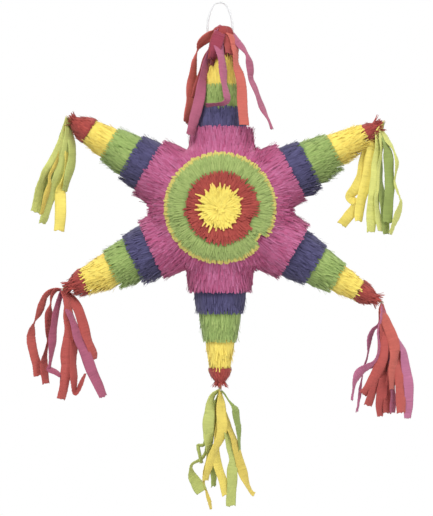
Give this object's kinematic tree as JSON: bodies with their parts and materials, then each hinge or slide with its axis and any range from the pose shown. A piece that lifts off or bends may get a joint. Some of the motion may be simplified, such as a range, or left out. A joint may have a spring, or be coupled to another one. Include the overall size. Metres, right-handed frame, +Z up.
{
  "type": "pinata",
  "caption": "Star pinata: a hollow card body with six card cones under bands of tissue fringe, a hanging loop, a fill flap in the back and streamer tassels at the points.",
  "frame": {"origin": "inside of the hanging loop's crown, where a hook or line bears", "axes": "+Z up, the front with its medallion faces -Y, +X to the right as seen from the front"},
  "size_m": [0.5468, 0.1385, 0.7082],
  "materials": {
    "loop_plastic": "satin",
    "paper_tape": "matte",
    "card": "matte",
    "thread": "matte",
    "tissue_pink": "matte",
    "tissue_purple": "matte",
    "tissue_green": "matte",
    "tissue_yellow": "matte",
    "tissue_red": "matte",
    "crepe_lime": "matte",
    "crepe_yellow": "matte",
    "crepe_red": "matte",
    "crepe_pink": "matte"
  },
  "bodies": {
    "hanger": {"hanging_loop": "loop_plastic"},
    "star": {"core_front_shell": "card", "core_back_shell": "card", "core_seam_tape": "paper_tape", "cone_top": "card", "cone_upper_right": "card", "cone_lower_right": "card", "cone_bottom": "card", "cone_lower_left": "card", "cone_upper_left": "card", "fringe_pink_top": "tissue_pink", "fringe_pink_upper_right": "tissue_pink", "fringe_pink_lower_right": "tissue_pink", "fringe_pink_bottom": "tissue_pink", "fringe_pink_lower_left": "tissue_pink", "fringe_pink_upper_left": "tissue_pink", "fringe_purple_top": "tissue_purple", "fringe_purple_upper_right": "tissue_purple", "fringe_purple_lower_right": "tissue_purple", "fringe_purple_bottom": "tissue_purple", "fringe_purple_lower_left": "tissue_purple", "fringe_purple_upper_left": "tissue_purple", "fringe_green_top": "tissue_green", "fringe_green_upper_right": "tissue_green", "fringe_green_lower_right": "tissue_green", "fringe_green_bottom": "tissue_green", "fringe_green_lower_left": "tissue_green", "fringe_green_upper_left": "tissue_green", "fringe_yellow_top": "tissue_yellow", "fringe_yellow_upper_right": "tissue_yellow", "fringe_yellow_lower_right": "tissue_yellow", "fringe_yellow_bottom": "tissue_yellow", "fringe_yellow_lower_left": "tissue_yellow", "fringe_yellow_upper_left": "tissue_yellow", "fringe_red_top": "tissue_red", "fringe_red_upper_right": "tissue_red", "fringe_red_lower_right": "tissue_red", "fringe_red_bottom": "tissue_red", "fringe_red_lower_left": "tissue_red", "fringe_red_upper_left": "tissue_red", "medallion_front_yellow": "tissue_yellow", "medallion_front_red": "tissue_red", "medallion_front_green": "tissue_green", "medallion_back_red": "tissue_red", "medallion_back_green": "tissue_green"},
    "flap": {"fill_flap": "card", "medallion_back_yellow": "tissue_yellow"},
    "knot_upper_right": {"knot_upper_right": "thread"},
    "tassel_upper_right": {"streamers_upper_right": "crepe_lime"},
    "knot_lower_right": {"knot_lower_right": "thread"},
    "tassel_lower_right": {"streamers_lower_right": "crepe_red"},
    "knot_bottom": {"knot_bottom": "thread"},
    "tassel_bottom": {"streamers_bottom": "crepe_yellow"},
    "knot_lower_left": {"knot_lower_left": "thread"},
    "tassel_lower_left": {"streamers_lower_left": "crepe_red"},
    "knot_upper_left": {"knot_upper_left": "thread"},
    "tassel_upper_left": {"streamers_upper_left": "crepe_lime"},
    "top_left": {"streamers_top_left": "crepe_pink"},
    "top_front": {"streamers_top_front": "crepe_pink"},
    "top_right": {"streamers_top_right": "crepe_red"}
  },
  "joints": [
    {"name": "loop_swing", "type": "hinge", "parent": "hanger", "child": "star", "pos_m": [0, 0, -0.05], "axis": [1, 0, 0], "range_deg": [-20, 20]},
    {"name": "flap_hinge", "type": "hinge", "parent": "star", "child": "flap", "pos_m": [0, 0.067, -0.2596], "axis": [1, 0, 0], "range_deg": [0, 100]},
    {"name": "upper_right_swing", "type": "hinge", "parent": "star", "child": "knot_upper_right", "pos_m": [0.22957, 0, -0.16594], "axis": [0, 1, 0], "range_deg": [-60, 3]},
    {"name": "upper_right_sway", "type": "hinge", "parent": "knot_upper_right", "child": "tassel_upper_right", "pos_m": [0.22957, 0, -0.16594], "axis": [1, 0, 0], "range_deg": [-45, 45]},
    {"name": "lower_right_swing", "type": "hinge", "parent": "star", "child": "knot_lower_right", "pos_m": [0.2269, 0, -0.419], "axis": [0, 1, 0], "range_deg": [-60, 45]},
    {"name": "lower_right_sway", "type": "hinge", "parent": "knot_lower_right", "child": "tassel_lower_right", "pos_m": [0.2269, 0, -0.419], "axis": [1, 0, 0], "range_deg": [-45, 45]},
    {"name": "bottom_swing", "type": "hinge", "parent": "star", "child": "knot_bottom", "pos_m": [0, 0, -0.541], "axis": [0, 1, 0], "range_deg": [-60, 60]},
    {"name": "bottom_sway", "type": "hinge", "parent": "knot_bottom", "child": "tassel_bottom", "pos_m": [0, 0, -0.541], "axis": [1, 0, 0], "range_deg": [-45, 45]},
    {"name": "lower_left_swing", "type": "hinge", "parent": "star", "child": "knot_lower_left", "pos_m": [-0.22186, 0, -0.40104], "axis": [0, 1, 0], "range_deg": [-33, 60]},
    {"name": "lower_left_sway", "type": "hinge", "parent": "knot_lower_left", "child": "tassel_lower_left", "pos_m": [-0.22186, 0, -0.40104], "axis": [1, 0, 0], "range_deg": [-45, 45]},
    {"name": "upper_left_swing", "type": "hinge", "parent": "star", "child": "knot_upper_left", "pos_m": [-0.21429, 0, -0.15924], "axis": [0, 1, 0], "range_deg": [-4, 60]},
    {"name": "upper_left_sway", "type": "hinge", "parent": "knot_upper_left", "child": "tassel_upper_left", "pos_m": [-0.21429, 0, -0.15924], "axis": [1, 0, 0], "range_deg": [-45, 45]},
    {"name": "top_left_lift", "type": "hinge", "parent": "star", "child": "top_left", "pos_m": [-0.0022, 0, -0.034], "axis": [0, 1, 0], "range_deg": [0, 40]},
    {"name": "top_front_lift", "type": "hinge", "parent": "star", "child": "top_front", "pos_m": [0, -0.0042, -0.0286], "axis": [-1, 0, 0], "range_deg": [0, 60]},
    {"name": "top_right_lift", "type": "hinge", "parent": "star", "child": "top_right", "pos_m": [0.0022, 0, -0.034], "axis": [0, -1, 0], "range_deg": [0, 40]}
  ]
}
